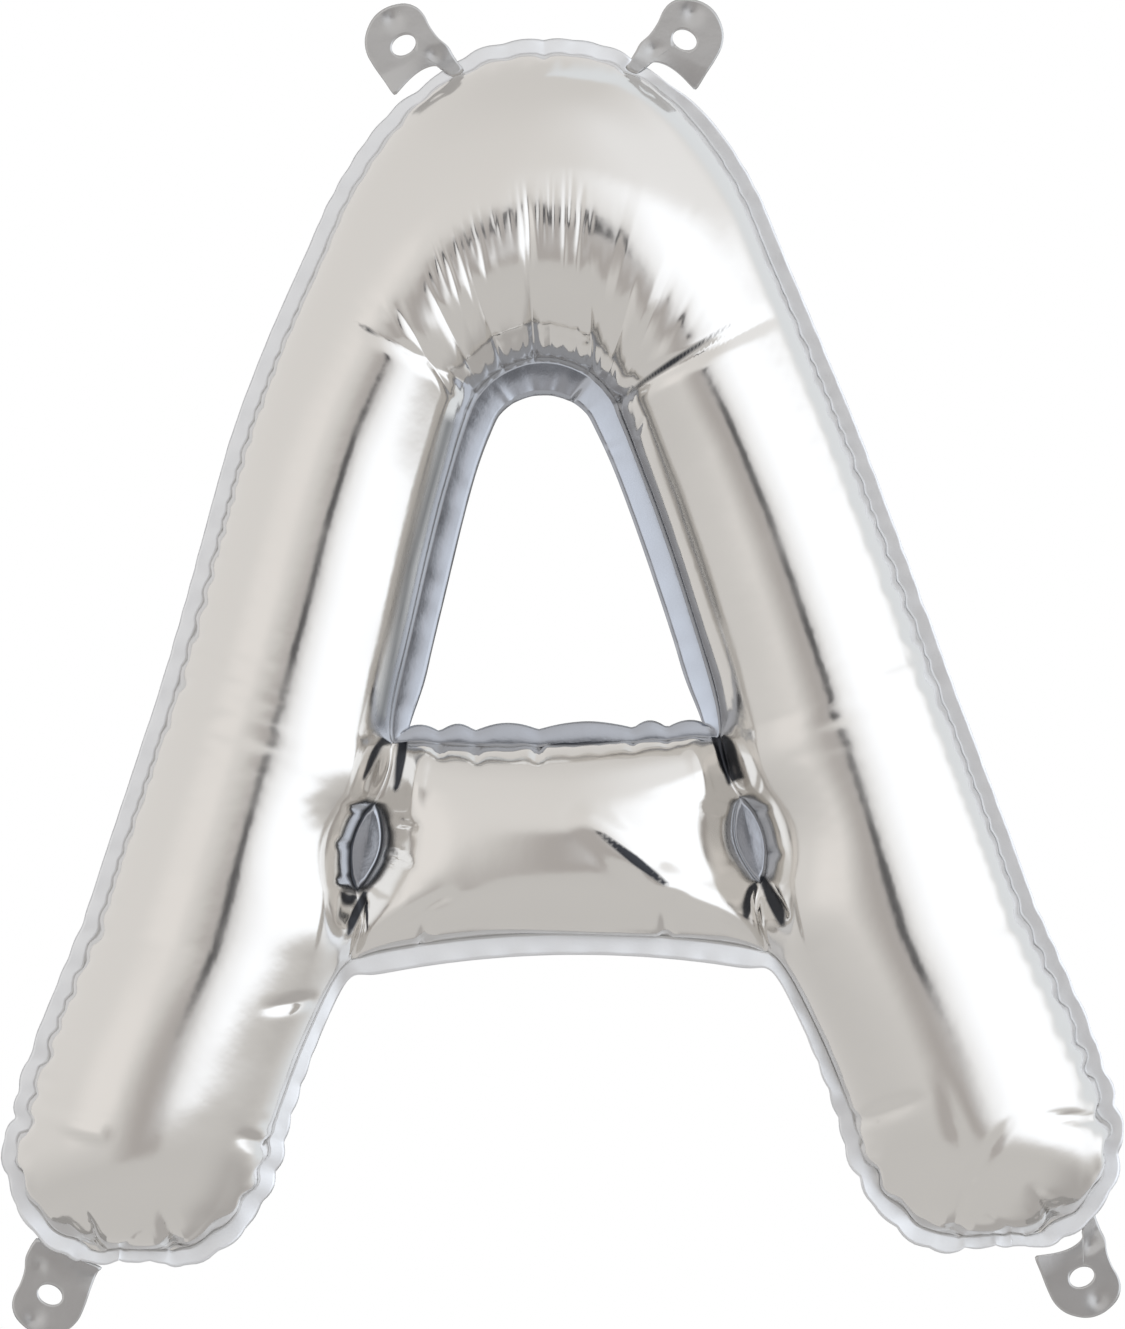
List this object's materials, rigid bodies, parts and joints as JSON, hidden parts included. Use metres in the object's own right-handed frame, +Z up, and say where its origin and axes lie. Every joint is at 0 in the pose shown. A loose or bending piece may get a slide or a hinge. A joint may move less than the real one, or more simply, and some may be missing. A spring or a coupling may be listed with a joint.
{
  "type": "letter foil balloon",
  "caption": "Silver foil balloon in the shape of a capital letter A, welded round its edge and counter, with hanging tabs that flex at their roots.",
  "frame": {"origin": "hanging point, midway between the holes of the two upper tabs, in the weld plane", "axes": "+Z up along the letter's height, -Y out of the letter's front face, +X to the right seen from the front; the letter is symmetric about X = 0"},
  "size_m": [0.343, 0.0698, 0.4063],
  "materials": {
    "film": "metallised polyester film, mirror bright",
    "welded_film": "two metallised films heat-sealed flat, slightly duller than the panels"
  },
  "bodies": {
    "envelope": {"front_foil": "film", "back_foil": "film", "outer_seam": "welded_film", "counter_seam": "welded_film", "left_junction_web": "welded_film", "right_junction_web": "welded_film"},
    "top_left_tab": {"top_left_tab": "welded_film"},
    "top_right_tab": {"top_right_tab": "welded_film"},
    "bottom_left_tab": {"bottom_left_tab": "welded_film"},
    "bottom_right_tab": {"bottom_right_tab": "welded_film"}
  },
  "joints": [
    {"name": "top_left_tab_fold", "type": "hinge", "parent": "envelope", "child": "top_left_tab", "pos_m": [-0.03826, 0, -0.01017], "axis": [0.8771, 0, 0.4802], "range_deg": [-80, 80], "stiffness_Nm_per_rad": 0.0001},
    {"name": "top_right_tab_fold", "type": "hinge", "parent": "envelope", "child": "top_right_tab", "pos_m": [0.03826, 0, -0.01017], "axis": [0.8771, 0, -0.4802], "range_deg": [-80, 80], "stiffness_Nm_per_rad": 0.0001},
    {"name": "bottom_left_tab_fold", "type": "hinge", "parent": "envelope", "child": "bottom_left_tab", "pos_m": [-0.15284, 0, -0.37163], "axis": [-0.9011, 0, 0.4337], "range_deg": [-80, 80], "stiffness_Nm_per_rad": 0.0001},
    {"name": "bottom_right_tab_fold", "type": "hinge", "parent": "envelope", "child": "bottom_right_tab", "pos_m": [0.15284, 0, -0.37163], "axis": [-0.9011, 0, -0.4337], "range_deg": [-80, 80], "stiffness_Nm_per_rad": 0.0001}
  ]
}
